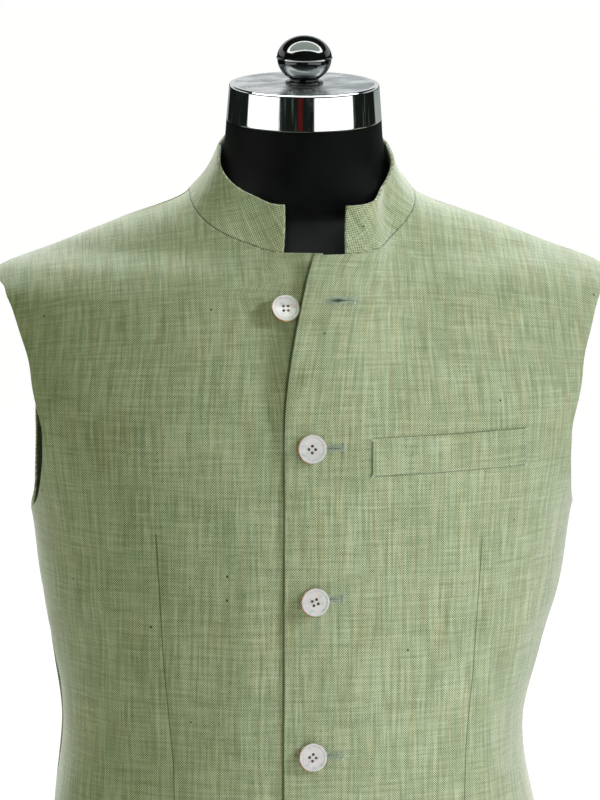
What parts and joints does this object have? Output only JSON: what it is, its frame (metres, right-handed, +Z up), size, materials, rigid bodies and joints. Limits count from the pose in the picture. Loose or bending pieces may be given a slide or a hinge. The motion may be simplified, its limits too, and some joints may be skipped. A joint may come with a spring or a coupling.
{
  "type": "nehru jacket on a dress form",
  "caption": "Sleeveless stand-collar jacket in green linen, buttoned down the front, worn on a limbless dress form with a capped neck and a round base.",
  "frame": {"origin": "on the floor under the middle of the round base", "axes": "+Z up through the pole; the jacket's front faces -Y; +X is the wearer's left, where the pocket is"},
  "size_m": [0.4312, 0.3, 0.9813],
  "materials": {
    "linen": "slubby sage-green linen, plain weave, matte with a slight haze",
    "shell": "white mother-of-pearl with an amber edge, polished",
    "form_black": "smooth matte black cover",
    "chrome": "polished chrome"
  },
  "bodies": {
    "root": {"front_left": "linen", "front_right": "linen", "back_left": "linen", "back_right": "linen", "collar": "linen", "pocket_welt": "linen", "button_1": "shell", "button_2": "shell", "button_3": "shell", "button_4": "shell", "button_5": "shell", "form_torso": "form_black", "neck_cap": "chrome", "cap_knob": "chrome", "stand_flange": "chrome", "stand_pole": "chrome", "stand_base": "chrome"}
  },
  "joints": []
}
